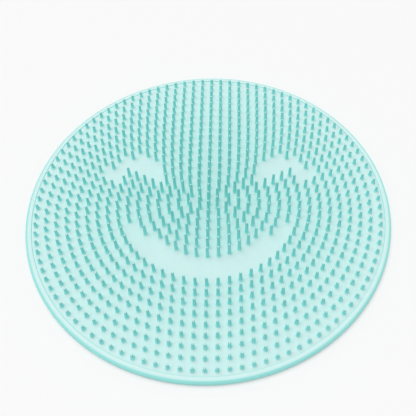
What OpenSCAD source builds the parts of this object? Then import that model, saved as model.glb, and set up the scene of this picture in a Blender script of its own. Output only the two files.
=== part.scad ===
// Round bath massage pad, moulded in one piece from soft silicone.
// The upper side carries rings of tapered bristles that grow taller towards the middle.
// Two arches and a curved band are left bare in them.
// The lower side has a field of suction cups inside a shallow rim.

/* [Sheet] */
// Diameter over the rim
pad_d = 310; // [290:1:330]
// Thickness of the sheet between bristles and cups
sheet_t = 2; // [1.5:0.1:3]

/* [Rim] */
// Width of the raised bead, from its inner foot to the outside of the rim
bead_w = 5.3; // [4.2:0.1:6]
// Height of the bead above the sheet
bead_h = 0.35; // [0.2:0.05:0.8]
// Radius of the rim's outer upper edge
rim_edge_r = 2.6; // [1.5:0.1:3]
// Chamfer of the rim's outer lower edge
rim_foot_c = 0.5; // [0.2:0.1:1]
// Thickness of the rim's wall below the sheet
rim_wall_t = 3.4; // [3:0.1:4]
// How far the rim's wall stays clear of the floor
rim_lift = 0.8; // [0.4:0.1:1.5]

/* [Bristles] */
// Distance from each ring of bristles to the next
ring_gap = 8.57; // [8.2:0.01:9.2]
// Least distance from a bristle's middle to the outside of the rim
ring_margin = 8.5; // [8:0.1:12]
// Height of a bristle in the outermost ring
short_bristle_h = 6.5; // [5:0.1:8]
// How much taller each ring is than the next one out
ring_rise = 0.71; // [0.5:0.01:1]
// Diameter of a bristle at its foot
bristle_foot_d = 3.2; // [2.6:0.1:3.6]
// Height of the straight part at a bristle's foot
bristle_foot_h = 0.5; // [0.5:0.1:1]
// Diameter of a bristle just under its round tip
bristle_tip_d = 2.3; // [1.6:0.1:2.5]

/* [Bare patches] */
// First of the two rings that the curved band takes up
band_ring = 7; // [5:1:10]
// Half the angle that the band leaves bare in its inner ring
band_inner_half = 56; // [45:1:65]
// Half the angle that the band leaves bare in its outer ring
band_outer_half = 71; // [60:1:85]
// Sideways distance from the middle to the centre of an arch
arch_x = 65; // [60:0.5:70]
// Distance from the middle up to the centre of an arch
arch_y = 19.5; // [15:0.5:24]
// Inner radius of an arch
arch_inner_r = 15; // [10:0.5:18]
// Outer radius of an arch
arch_outer_r = 27.5; // [24:0.5:34]
// Distance from the middle up to the arches' feet
arch_foot_y = 24.5; // [20:0.5:28]

/* [Suction cups] */
// Distance between neighbouring cups
cup_gap = 37.5; // [34:0.5:42]
// Diameter of a cup at its lip
cup_d = 24; // [20:0.5:27]
// Height of a cup, from its lip to the sheet
cup_h = 3.2; // [3:0.1:4.5]
// Diameter of the stem that joins a cup to the sheet
stem_d = 9; // [7:0.5:12]
// Length of the stem
stem_l = 0.5; // [0.3:0.1:0.8]
// Thickness of a cup's lip
lip_t = 0.7; // [0.5:0.1:1]
// Depth of the hollow in a cup
hollow_depth = 2; // [1.2:0.1:2.2]
// Least gap between the outermost cups and the rim's wall
cup_clear = 1; // [0.5:0.1:3]

/* [Hidden] */
pad_r = pad_d / 2;
wall_inner_r = pad_r - rim_wall_t;
sheet_under = cup_h;
sheet_top = sheet_under + sheet_t;
bead_top = sheet_top + bead_h;
rings = floor((pad_r - ring_margin) / ring_gap);
// How far bristles and stems run into the sheet
root = 0.3 * sheet_t;
// Turn from a bristle's side round to the small flat at its tip
tip_turn = 66;
cup_reach = wall_inner_r - cup_clear - cup_d / 2;
cup_row_gap = cup_gap * sin(60);
cup_rows = ceil(cup_reach / cup_row_gap);
cup_columns = ceil(cup_reach / cup_gap);

// Points of an arc about a centre, from one angle to another
function arc(centre, r, from, to, steps) = [
    for (i = [0:steps])
        let (a = from + (to - from) * i / steps)
        centre + r * [cos(a), sin(a)]
];

// Is this turn from +Y inside the bare band, which is centred on -Y?
function in_band(ring, turn) =
    (ring == band_ring && abs(180 - turn) < band_inner_half)
    || (ring == band_ring + 1 && abs(180 - turn) < band_outer_half);

// Is this place inside one of the two bare arches?
function in_arch(place) =
    let (r = norm([abs(place[0]) - arch_x, place[1] - arch_y]))
    r > arch_inner_r && r < arch_outer_r && place[1] > arch_foot_y;

// The places in a ring of bristles, which has six more than the ring inside it
function ring_places(ring) = ring == 0 ? [[0, 0]] : [
    for (i = [0:6 * ring - 1])
        let (turn = 60 * i / ring, place = ring * ring_gap * [sin(turn), cos(turn)])
        if (!in_band(ring, turn) && !in_arch(place)) place
];

module sheet_and_rim() {
    bead_foot_r = pad_r - bead_w;
    rotate_extrude($fn = 180)
        polygon(concat(
            [[0, sheet_under], [wall_inner_r, sheet_under], [wall_inner_r, rim_lift]],
            [[pad_r - rim_foot_c, rim_lift], [pad_r, rim_lift + rim_foot_c]],
            arc([pad_r - rim_edge_r, bead_top - rim_edge_r], rim_edge_r, 0, 90, 3),
            [[bead_foot_r + bead_h, bead_top], [bead_foot_r, sheet_top], [0, sheet_top]]
        ));
}

module bristle(h) {
    foot_r = bristle_foot_d / 2;
    tip_r = bristle_tip_d / 2;
    rotate_extrude($fn = 24)
        polygon(concat(
            [[0, -root], [foot_r, -root], [foot_r, bristle_foot_h]],
            arc([0, h - tip_r * sin(tip_turn)], tip_r, 0, tip_turn, 2),
            [[0, h]]
        ));
}

module bristle_ring(ring) {
    for (place = ring_places(ring))
        translate([place[0], place[1], sheet_top])
            bristle(short_bristle_h + ring_rise * (rings - ring));
}

module bristles() {
    for (ring = [0:rings]) bristle_ring(ring);
}

// A stem and a bell that thins towards its lip, with a hollow that is part of a ball
module suction_cup() {
    lip_r = cup_d / 2;
    bell_top = sheet_under - stem_l;
    hollow_r = lip_r - lip_t;
    ball_r = (pow(hollow_r, 2) + pow(hollow_depth, 2)) / (2 * hollow_depth);
    rotate_extrude($fn = 60)
        difference() {
            polygon([
                [0, 0],
                [lip_r, 0],
                [lip_r, lip_t],
                [stem_d / 2, bell_top],
                [stem_d / 2, sheet_under + root],
                [0, sheet_under + root]
            ]);
            translate([0, hollow_depth - ball_r]) circle(ball_r, $fn = 180);
        }
}

// Cups in staggered rows, one in the middle of the pad
module suction_cups() {
    for (row = [-cup_rows:cup_rows], column = [-cup_columns:cup_columns]) {
        x = (column + (row % 2 == 0 ? 0 : 0.5)) * cup_gap;
        y = row * cup_row_gap;
        if (norm([x, y]) <= cup_reach)
            translate([x, y, 0]) suction_cup();
    }
}

module pad() {
    color([0.6, 0.86, 0.84]) union() {
        sheet_and_rim();
        bristles();
        suction_cups();
    }
}

pad();
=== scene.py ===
import math

import bpy
import numpy as np
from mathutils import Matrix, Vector, geometry


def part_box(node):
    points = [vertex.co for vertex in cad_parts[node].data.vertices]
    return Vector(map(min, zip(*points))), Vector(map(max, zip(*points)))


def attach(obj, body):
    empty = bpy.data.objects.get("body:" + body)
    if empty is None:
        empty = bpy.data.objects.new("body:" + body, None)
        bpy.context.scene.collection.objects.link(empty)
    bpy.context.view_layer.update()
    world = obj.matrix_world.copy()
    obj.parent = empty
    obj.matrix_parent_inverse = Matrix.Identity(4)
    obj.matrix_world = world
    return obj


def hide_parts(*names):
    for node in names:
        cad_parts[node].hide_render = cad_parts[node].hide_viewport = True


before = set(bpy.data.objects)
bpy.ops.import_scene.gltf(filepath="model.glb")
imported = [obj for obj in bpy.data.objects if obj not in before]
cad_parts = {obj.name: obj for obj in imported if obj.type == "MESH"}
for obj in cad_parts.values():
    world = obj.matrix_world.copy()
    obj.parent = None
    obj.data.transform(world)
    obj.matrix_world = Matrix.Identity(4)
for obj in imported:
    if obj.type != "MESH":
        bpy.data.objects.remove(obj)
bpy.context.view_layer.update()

# Sizes are in millimetres. The pad's radius and height are those of the frame, to a micrometre.
MM = 0.001
PAD_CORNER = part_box("pad")[1]
PAD_R = round(PAD_CORNER.x / MM, 3)
PAD_H = round(PAD_CORNER.z / MM, 3)

# The sheet and its rim
SHEET_TOP = 5.2
SHEET_UNDER = 3.2
BEAD_W = 5.3
BEAD_H = 0.35
BEAD_INNER_R = 1.3 * BEAD_H
BEAD_INNER_START = 190
BEAD_INNER_STEPS = 5
BEAD_TOP_RING = 1.4
GROOVE_W = 1.3
GROOVE_D = 0.3
# Points across the groove: how far inside the bead, and at which share of the groove's depth
GROOVE_POINTS = ((0.5, 0.8), (0.1, 1.0))
RIM_EDGE_R = 2.6
RIM_EDGE_STEPS = 12
RIM_FOOT_R = 0.5
RIM_FOOT_STEPS = 3
RIM_WALL_T = 3.4
RIM_LIFT = 0.8
WALL_FOOT_R = 0.3
WALL_FOOT_STEPS = 2
WALL_FILLET = 0.6
WALL_FILLET_STEPS = 3
UNDERSIDE_RINGS = (120.0, 60.0, 0.0)
RIM_SIDES = 288

# The bristles
RINGS = 17
RING_GAP = 8.57
RING_RISE = 0.71
MIDDLE_BRISTLE_H = PAD_H - SHEET_TOP
FOOT_R = 1.6
FOOT_FILLET = 0.8
# Where the fillet's first ring is, as an angle about its centre. Its loop on the sheet is at 270.
FILLET_START = 225
TIP_R = 1.15
TIP_TURNS = (0, 35, 65, 90)
BRISTLE_SIDES = 14

# The bare band: half of its width in degrees, for each ring that it crosses
BAND = {7: 56, 8: 71}
# The bare arches, of which the right one is given
ARCH_CENTRE = (65.0, 19.5)
ARCH_INNER_R = 15.0
ARCH_OUTER_R = 27.5
ARCH_FOOT_Y = 24.5

# The suction cups
CUP_GAP = 37.5
CUP_R = 12.0
CUP_CLEAR = 1.0
CUP_SIDES = 48
LIP_T = 0.7
LIP_EDGE_R = 0.2
LIP_EDGE_STEPS = 3
LIP_BEVEL_IN = 0.12
LIP_BEVEL_DOWN = 0.15
HOLLOW_DEPTH = 2.0
HOLLOW_STEPS = 8
BELL_RINGS = (0.35, 0.7, 0.95)
STEM_R = 4.5
STEM_L = 0.5
STEM_FOOT = 0.15
STEM_IN_SHEET = 0.3

# How deep the colour is, on a scale of tone and painted light from the rim's wall to the bristles' tips:
# paler where the silicone faces up and deeper on its walls, partly its own deeper tone where thick and
# partly painted shade
# The rim's wall: painted shade, partly the deeper tone of thick silicone
WALL_SHADE_AT = 0.0
# The bead's top: a paler colour, as a painted highlight
BEAD_HIGHLIGHT_AT = 0.1
SHEET_AT = 0.13
# The bristles' feet: a bright teal, as a painted glow of light through the silicone
FOOT_GLOW_AT = 0.23
# The bristles' bodies: partly the deeper tone of thick silicone, partly painted shade on their walls
BODY_LOW_TONE_AND_SHADE_AT = 0.33
BODY_HIGH_TONE_AND_SHADE_AT = 0.8
# The edge of a bristle's tip: darker, as painted shade
TIP_EDGE_SHADE_AT = 0.9
# The top of a bristle's tip: pale, as a painted highlight
TIP_HIGHLIGHT_AT = 1.0
CUP_AT = 0.24
# The points of a bristle's profile: two on the fillet, then those of TIP_TURNS. They run from the painted
# glow at the foot through the body's tone and painted shade to the painted highlight at the tip
BRISTLE_TONE_AND_LIGHT = (0.17, 0.24, BODY_HIGH_TONE_AND_SHADE_AT, TIP_EDGE_SHADE_AT, 0.96, TIP_HIGHLIGHT_AT)

# The wall's colour, which is painted shade and partly the deeper tone of thick silicone: how far inside the
# rounded edge it starts, over which width it turns to it, and over which height and by how much it fades
# below the edge, paler towards the bottom
WALL_SHADE_LEAD = 0.3
WALL_SHADE_W = 0.5 * RIM_EDGE_R
WALL_SHADE_FADE_H = 2.0
WALL_SHADE_FADE = 0.25
# The groove's colour, which is painted shade: how far round the bead's foot it reaches, and its share of the
# wall's painted shade
GROOVE_SHADE_W = 0.2
GROOVE_SHADE_SHARE = 0.9
# How far out on the bead the sheet's colour reaches, before the bead's painted highlight
SHEET_COLOUR_W = 0.5

# Rings of the faint mark over a stem: past the stem's radius, how low, and how much deeper in colour, as
# painted shade in the sink
SINK_RINGS = ((0.6, 0.0, 0.0), (0.0, 0.04, 0.02), (-0.6, 0.05, 0.0), (-3.0, 0.03, 0.0))
SINK_SIDES = 28
SINK_CLEAR = 0.5

# Points of the upper face that are closer than this are taken as one
MERGE = 1e-4

# Colours of the silicone and where they are on the scale of tone and painted light: painted shade on the
# wall, the groove and the tips' edges, partly painted shade on the bristles' bodies, painted highlights on
# the bead and the tips, and a painted glow at the feet
SHADES = (
    (WALL_SHADE_AT, (0.36, 0.81, 0.775, 1)),
    (BEAD_HIGHLIGHT_AT, (0.71, 0.90, 0.89, 1)),
    (SHEET_AT, (0.66, 0.87, 0.855, 1)),
    (FOOT_GLOW_AT, (0.43, 0.92, 0.90, 1)),
    (BODY_LOW_TONE_AND_SHADE_AT, (0.33, 0.825, 0.795, 1)),
    (BODY_HIGH_TONE_AND_SHADE_AT, (0.285, 0.795, 0.765, 1)),
    (TIP_EDGE_SHADE_AT, (0.20, 0.66, 0.63, 1)),
    (TIP_HIGHLIGHT_AT, (0.80, 0.97, 0.95, 1)),
)
MOTTLE_LEAST = 0.96
MOTTLE = {"Scale": 60, "Detail": 4}
GRAIN = {"Scale": 2500, "Detail": 2}
GRAIN_BUMP = {"Strength": 0.12, "Distance": 0.1 * MM}
SILICONE = {
    "Roughness": 0.35,
    "IOR": 1.41,
    "Specular IOR Level": 0.15,
    "Subsurface Weight": 0.4,
    "Subsurface Radius": (1.0, 1.0, 1.0),
    "Subsurface Scale": 0.8 * MM,
}
FLOOR = {"Base Color": (0.9, 0.9, 0.9, 1), "Roughness": 0.7}
WHITE = (1, 1, 1, 1)

# Camera, measured from the photograph: its place in millimetres, angles in degrees, lengths in pixels
CAMERA_PLACE = (19.5, -283.35, 415.24)
CAMERA_PITCH = 55.74
CAMERA_YAW = -0.15
CAMERA_CLIP = 10.0
FRAME_PX = 416
FOCAL_PX = 580.5
PRINCIPAL_X_PX = 232.5
SENSOR_MM = 36.0

# Floor and light. The world is brighter for the rays that see it than as a light.
FLOOR_HALF = 30000.0
FLOOR_DROP = 0.05
FLOOR_GLOW = 0.35
WORLD_LIGHT = 0.55
WORLD_SEEN = 0.95
SUN_ENERGY = 1.5
SUN_ANGLE = 50
SUN_TOWARDS = (0.2, -0.12, -1)


# Mesh making

def circle(x, y, r, sides):
    """Points (x, y) round a circle."""
    turns = np.arange(sides) * 2 * math.pi / sides
    return np.column_stack([x + r * np.cos(turns), y + r * np.sin(turns)])


def shaded_ring(x, y, r, sides, z, tone_and_light):
    """Points round a circle, each as x, y, z and place on the scale of tone and painted light."""
    return np.column_stack([circle(x, y, r, sides), np.full(sides, z), np.full(sides, tone_and_light)])


def arc(centre, r, start, end, steps):
    """Points of an arc about a centre, with angles in degrees."""
    turns = np.radians(np.linspace(start, end, steps + 1))
    return [(centre[0] + r * math.cos(t), centre[1] + r * math.sin(t)) for t in turns]


def revolved(profile, sides):
    """Points and faces of a profile of (r, z) turned round Z. Its first point is on the axis."""
    rings = [np.column_stack([circle(0, 0, r, sides), np.full(sides, z)]) for r, z in profile[1:]]
    middle = len(rings) * sides
    points = np.concatenate(rings + [np.array([(0, 0, profile[0][1])])])
    faces = []
    for first in range(0, middle - sides, sides):
        for s in range(sides):
            a, b = first + s, first + (s + 1) % sides
            faces.append((a, b, b + sides, a + sides))
    faces += [(middle, (s + 1) % sides, s) for s in range(sides)]
    return points, faces


class Skin:
    """A closed skin, as points of x, y, z and place on the scale of tone and painted light, and the faces
    between them.
    """

    def __init__(self, points, faces):
        self.parts = [points]
        self.count = len(points)
        self.faces = faces

    def add(self, points):
        """Adds points and returns the number of the first one."""
        first = self.count
        self.parts.append(points)
        self.count += len(points)
        return first

    def stack(self, base, profile, x, y, sides, flip=False):
        """Adds rings of a profile of (r, z, place on the scale of tone and painted light) over the ring that
        starts at base, and its last point.
        """
        order = slice(None, None, -1 if flip else 1)
        for r, z, tone_and_light in profile[:-1]:
            ring = self.add(shaded_ring(x, y, r, sides, z, tone_and_light))
            for i in range(sides):
                j = (i + 1) % sides
                self.faces.append((base + i, base + j, ring + j, ring + i)[order])
            base = ring
        tip = self.add(np.array([(x, y, *profile[-1][1:])]))
        for i in range(sides):
            self.faces.append((base + i, base + (i + 1) % sides, tip)[order])


def piece(name, points, faces, tone_and_light=0.0):
    """A smooth mesh object from points in millimetres, with its place on the scale of tone and painted light
    at each point.
    """
    mesh = bpy.data.meshes.new(name)
    mesh.from_pydata((np.asarray(points) * MM).tolist(), [], faces)
    mesh.validate()
    mesh.polygons.foreach_set("use_smooth", [True] * len(mesh.polygons))
    layer = mesh.attributes.new("tone_and_light", "FLOAT", "POINT")
    layer.data.foreach_set("value", np.broadcast_to(tone_and_light, len(mesh.vertices)).astype(np.float32))
    mesh.update()
    obj = bpy.data.objects.new(name, mesh)
    bpy.context.scene.collection.objects.link(obj)
    return obj


# Places of the bristles and cups

def in_arch(x, y):
    r = math.hypot(abs(x) - ARCH_CENTRE[0], y - ARCH_CENTRE[1])
    return ARCH_INNER_R < r < ARCH_OUTER_R and y > ARCH_FOOT_Y


def ring_places(ring):
    """Places of a ring's bristles. The ring has six more places than the one inside it."""
    places = []
    for i in range(max(1, 6 * ring)):
        turn = 60 * i / max(1, ring)
        x = ring * RING_GAP * math.sin(math.radians(turn))
        y = ring * RING_GAP * math.cos(math.radians(turn))
        if abs(180 - turn) >= BAND.get(ring, 0) and not in_arch(x, y):
            places.append((x, y))
    return places


def bristles():
    """Each bristle's x, y and height. The rings fall in equal steps from the middle out."""
    return [
        (x, y, MIDDLE_BRISTLE_H - RING_RISE * ring)
        for ring in range(RINGS + 1)
        for x, y in ring_places(ring)
    ]


def cup_places():
    """A hexagonal lattice of places, as far out as the rim's wall leaves room for a cup."""
    reach = PAD_R - RIM_WALL_T - CUP_CLEAR - CUP_R
    row_gap = CUP_GAP * math.sin(math.radians(60))
    rows, columns = math.ceil(reach / row_gap), math.ceil(reach / CUP_GAP)
    places = []
    for row in range(-rows, rows + 1):
        for column in range(-columns, columns + 1):
            x, y = (column + 0.5 * (row % 2)) * CUP_GAP, row * row_gap
            if math.hypot(x, y) <= reach:
                places.append((x, y))
    return places


# The pad's skin

def sink_marks(places):
    """Points of the faint marks over the stems, as far as no bristle's foot is in the way."""
    middles = np.array(places)
    clear = FOOT_R + FOOT_FILLET + SINK_CLEAR
    marks = []
    for x, y in cup_places():
        for past, dip, tone_and_light in SINK_RINGS:
            ring = shaded_ring(x, y, STEM_R + past, SINK_SIDES, SHEET_TOP - dip, SHEET_AT + tone_and_light)
            to_feet = ring[:, None, :2] - middles[None, :, :]
            marks.append(ring[np.hypot(to_feet[..., 0], to_feet[..., 1]).min(axis=1) > clear])
    return marks


def sheet_points(places):
    """Points of the upper face: its edge, then the feet of the bristles, then the marks over the stems."""
    edge = shaded_ring(0, 0, PAD_R - BEAD_W - GROOVE_W, RIM_SIDES, SHEET_TOP, SHEET_AT)
    feet = [shaded_ring(x, y, FOOT_R + FOOT_FILLET, BRISTLE_SIDES, SHEET_TOP, SHEET_AT) for x, y in places]
    return np.concatenate([edge] + feet + sink_marks(places))


def foot_number(point, feet):
    """Which foot a point of the upper face is on, or a number of its own where it is on none."""
    foot = (point - RIM_SIDES) // BRISTLE_SIDES
    return foot if 0 <= foot < feet else -1 - point


def sheet_faces(points, feet):
    """Triangles between the points of the upper face, without those inside a foot."""
    flat = [Vector(p[:2]) for p in points]
    _, _, triangles, origins, _, _ = geometry.delaunay_2d_cdt(flat, [], [], 0, MERGE)
    faces = []
    for triangle in triangles:
        corners = tuple(origins[i][0] for i in triangle)
        if len({foot_number(point, feet) for point in corners}) > 1:
            faces.append(corners)
    return faces


def bristle_profile(h):
    """Points (r, z, place on the scale of tone and painted light) from halfway up the foot's fillet to the
    rounded tip.
    """
    middle = (FOOT_R + FOOT_FILLET, SHEET_TOP + FOOT_FILLET)
    fillet = arc(middle, FOOT_FILLET, FILLET_START, 180, 1)
    ball_z = SHEET_TOP + h - TIP_R
    tip = [(TIP_R * math.cos(t), ball_z + TIP_R * math.sin(t)) for t in np.radians(TIP_TURNS)]
    return [(r, z, tone_and_light) for (r, z), tone_and_light in zip(fillet + tip, BRISTLE_TONE_AND_LIGHT)]


def rim_profile():
    """Points (r, z) from the groove over the bead, down the outside and under the sheet to the middle."""
    foot, wall = PAD_R - BEAD_W, PAD_R - RIM_WALL_T
    top = SHEET_TOP + BEAD_H
    profile = [(foot - gap, SHEET_TOP - GROOVE_D * share) for gap, share in GROOVE_POINTS]
    inner = (foot + BEAD_INNER_R, top - BEAD_INNER_R)
    profile += arc(inner, BEAD_INNER_R, BEAD_INNER_START, 90, BEAD_INNER_STEPS)
    profile += [(foot + BEAD_TOP_RING, top)]
    profile += arc((PAD_R - RIM_EDGE_R, top - RIM_EDGE_R), RIM_EDGE_R, 90, 0, RIM_EDGE_STEPS)
    profile += arc((PAD_R - RIM_FOOT_R, RIM_LIFT + RIM_FOOT_R), RIM_FOOT_R, 0, -90, RIM_FOOT_STEPS)
    corner = (wall + WALL_FOOT_R, RIM_LIFT + WALL_FOOT_R)
    profile += arc(corner, WALL_FOOT_R, -90, -180, WALL_FOOT_STEPS)
    fillet = (wall - WALL_FILLET, SHEET_UNDER - WALL_FILLET)
    profile += arc(fillet, WALL_FILLET, 0, 90, WALL_FILLET_STEPS)
    return profile + [(r, SHEET_UNDER) for r in UNDERSIDE_RINGS]


def rim_tone_and_light(r, z):
    """Place on the scale of tone and painted light on the rim. The bead's painted highlight turns to the
    wall's painted shade at its edge, and the groove takes most of that painted shade.
    """
    foot = PAD_R - BEAD_W
    # Painted shade in the groove, most of the way to the wall's colour
    if abs(r - foot) < GROOVE_SHADE_W:
        return BEAD_HIGHLIGHT_AT + (WALL_SHADE_AT - BEAD_HIGHLIGHT_AT) * GROOVE_SHADE_SHARE
    if r < foot + SHEET_COLOUR_W or z <= RIM_LIFT:
        return SHEET_AT
    # Painted shade on the rounded edge and the wall, fading towards the bottom; the bead's top between keeps
    # its painted highlight
    turn = np.clip((r - (PAD_R - RIM_EDGE_R - WALL_SHADE_LEAD)) / WALL_SHADE_W, 0, 1)
    fall = np.clip((SHEET_TOP + BEAD_H - RIM_EDGE_R - z) / WALL_SHADE_FADE_H, 0, 1)
    return BEAD_HIGHLIGHT_AT + (WALL_SHADE_AT - BEAD_HIGHLIGHT_AT) * (1 - WALL_SHADE_FADE * fall) * turn


def make_pad():
    """The sheet, its rim and its bristles, as one closed skin."""
    field = bristles()
    points = sheet_points([(x, y) for x, y, _ in field])
    skin = Skin(points, sheet_faces(points, len(field)))
    for k, (x, y, h) in enumerate(field):
        skin.stack(RIM_SIDES + k * BRISTLE_SIDES, bristle_profile(h), x, y, BRISTLE_SIDES)
    rim = [(r, z, rim_tone_and_light(r, z)) for r, z in rim_profile()]
    skin.stack(0, rim, 0, 0, RIM_SIDES, flip=True)
    table = np.concatenate(skin.parts)
    return piece("moulded_pad", table[:, :3], skin.faces, table[:, 3])


def cup_profile():
    """Points (r, z) from the middle of the hollow to the lip, and up the bell and stem into the sheet."""
    hollow_r = CUP_R - LIP_T
    ball_r = (hollow_r**2 + HOLLOW_DEPTH**2) / (2 * HOLLOW_DEPTH)
    half = math.degrees(math.asin(hollow_r / ball_r))
    bell_top = SHEET_UNDER - STEM_L
    profile = arc((0, HOLLOW_DEPTH - ball_r), ball_r, 90, 90 - half, HOLLOW_STEPS)
    profile += arc((CUP_R - LIP_EDGE_R, LIP_EDGE_R), LIP_EDGE_R, -90, 0, LIP_EDGE_STEPS)
    profile += [(CUP_R, LIP_T - LIP_BEVEL_DOWN), (CUP_R - LIP_BEVEL_IN, LIP_T)]
    run, rise = STEM_R - CUP_R, bell_top - LIP_T
    profile += [(CUP_R + run * share, LIP_T + rise * share) for share in BELL_RINGS]
    return profile + [(STEM_R, bell_top + STEM_FOOT), (STEM_R, SHEET_UNDER + STEM_IN_SHEET)]


def make_cups():
    """All the suction cups, as copies of one."""
    points, faces = revolved(cup_profile(), CUP_SIDES)
    all_points, all_faces = [], []
    for k, (x, y) in enumerate(cup_places()):
        all_points.append(points + (x, y, 0))
        all_faces += [tuple(i + k * len(points) for i in face) for face in faces]
    return piece("suction_cups", np.concatenate(all_points), all_faces, CUP_AT)


# Materials

def set_inputs(node, values):
    for name, value in values.items():
        node.inputs[name].default_value = value


def new_material(name, values):
    """A material with values for its shader, and its nodes and links."""
    material = bpy.data.materials.new(name)
    material.use_nodes = True
    nodes, links = material.node_tree.nodes, material.node_tree.links
    set_inputs(nodes["Principled BSDF"], values)
    return material, nodes, links


def noise(nodes, links, where, values):
    """A socket with noise in the object's own coordinates."""
    node = nodes.new("ShaderNodeTexNoise")
    set_inputs(node, values)
    links.new(where.outputs["Object"], node.inputs["Vector"])
    return node.outputs["Fac"]


def shade(nodes, links):
    """A socket with the colour for a point's place on the scale of tone and painted light."""
    tone_and_light = nodes.new("ShaderNodeAttribute")
    tone_and_light.attribute_name = "tone_and_light"
    shades = nodes.new("ShaderNodeValToRGB")
    stops = shades.color_ramp.elements
    for at, _ in SHADES[1:-1]:
        stops.new(at)
    for stop, (_, colour) in zip(stops, SHADES):
        stop.color = colour
    links.new(tone_and_light.outputs["Fac"], shades.inputs["Fac"])
    return shades.outputs["Color"]


def silicone():
    """Pale satin silicone, whose colour deepens on its walls, partly as its own deeper tone where thick and
    partly as painted shade, with painted highlights on the bead and tips, a painted glow at the bristles'
    feet, fine mottling and grain.
    """
    material, nodes, links = new_material("silicone", SILICONE)
    shader = nodes["Principled BSDF"]
    where = nodes.new("ShaderNodeTexCoord")
    clouds = nodes.new("ShaderNodeMapRange")
    clouds.inputs["To Min"].default_value = MOTTLE_LEAST
    links.new(noise(nodes, links, where, MOTTLE), clouds.inputs["Value"])
    colour = nodes.new("ShaderNodeVectorMath")
    colour.operation = "SCALE"
    links.new(shade(nodes, links), colour.inputs[0])
    links.new(clouds.outputs["Result"], colour.inputs["Scale"])
    links.new(colour.outputs["Vector"], shader.inputs["Base Color"])
    bump = nodes.new("ShaderNodeBump")
    set_inputs(bump, GRAIN_BUMP)
    links.new(noise(nodes, links, where, GRAIN), bump.inputs["Height"])
    links.new(bump.outputs["Normal"], shader.inputs["Normal"])
    return material


def background_rays(nodes, links):
    """A socket that is 1 for rays that see the background, also by reflection, and 0 for its light."""
    rays = nodes.new("ShaderNodeLightPath")
    seen = rays.outputs["Is Camera Ray"]
    for kind in ("Is Glossy Ray", "Is Transmission Ray"):
        either = nodes.new("ShaderNodeMath")
        either.operation = "MAXIMUM"
        links.new(seen, either.inputs[0])
        links.new(rays.outputs[kind], either.inputs[1])
        seen = either.outputs[0]
    return seen


def floor_material():
    """A pale floor that keeps the pad's shadow and glows a little for the rays that see it."""
    material, nodes, links = new_material("pale_floor", FLOOR)
    glow = nodes.new("ShaderNodeEmission")
    glow.inputs["Color"].default_value = WHITE
    share = nodes.new("ShaderNodeMath")
    share.operation = "MULTIPLY"
    share.inputs[1].default_value = FLOOR_GLOW
    links.new(background_rays(nodes, links), share.inputs[0])
    mix = nodes.new("ShaderNodeMixShader")
    links.new(share.outputs[0], mix.inputs["Fac"])
    links.new(nodes["Principled BSDF"].outputs["BSDF"], mix.inputs[1])
    links.new(glow.outputs["Emission"], mix.inputs[2])
    links.new(mix.outputs["Shader"], nodes["Material Output"].inputs["Surface"])
    return material


# Scene

def make_floor():
    corners = ((-1, -1), (1, -1), (1, 1), (-1, 1))
    points = [(x * FLOOR_HALF, y * FLOOR_HALF, -FLOOR_DROP) for x, y in corners]
    floor = piece("floor", points, [(0, 1, 2, 3)])
    floor.data.materials.append(floor_material())


def make_world():
    world = bpy.data.worlds.new("studio")
    bpy.context.scene.world = world
    world.use_nodes = True
    nodes, links = world.node_tree.nodes, world.node_tree.links
    background = nodes["Background"]
    background.inputs["Color"].default_value = WHITE
    strength = nodes.new("ShaderNodeMapRange")
    set_inputs(strength, {"To Min": WORLD_LIGHT, "To Max": WORLD_SEEN})
    links.new(background_rays(nodes, links), strength.inputs["Value"])
    links.new(strength.outputs["Result"], background.inputs["Strength"])


def make_sun():
    data = bpy.data.lights.new("key", "SUN")
    data.energy = SUN_ENERGY
    data.angle = math.radians(SUN_ANGLE)
    sun = bpy.data.objects.new("key", data)
    sun.rotation_euler = Vector(SUN_TOWARDS).to_track_quat("-Z", "Y").to_euler()
    bpy.context.scene.collection.objects.link(sun)


def make_camera():
    data = bpy.data.cameras.new("camera")
    data.sensor_width = SENSOR_MM
    data.lens = FOCAL_PX / FRAME_PX * SENSOR_MM
    data.shift_x = (FRAME_PX / 2 - PRINCIPAL_X_PX) / FRAME_PX
    data.clip_start = CAMERA_CLIP * MM
    camera = bpy.data.objects.new("camera", data)
    camera.location = Vector(CAMERA_PLACE) * MM
    camera.rotation_euler = (math.radians(90 - CAMERA_PITCH), 0, math.radians(CAMERA_YAW))
    bpy.context.scene.collection.objects.link(camera)
    bpy.context.scene.camera = camera


bpy.context.scene.view_settings.view_transform = "Standard"
make_camera()
make_world()
make_sun()
make_floor()
finish = silicone()
parts = [make_pad(), make_cups()]
for part in parts:
    part.data.materials.append(finish)
    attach(part, "root")
    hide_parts("pad")
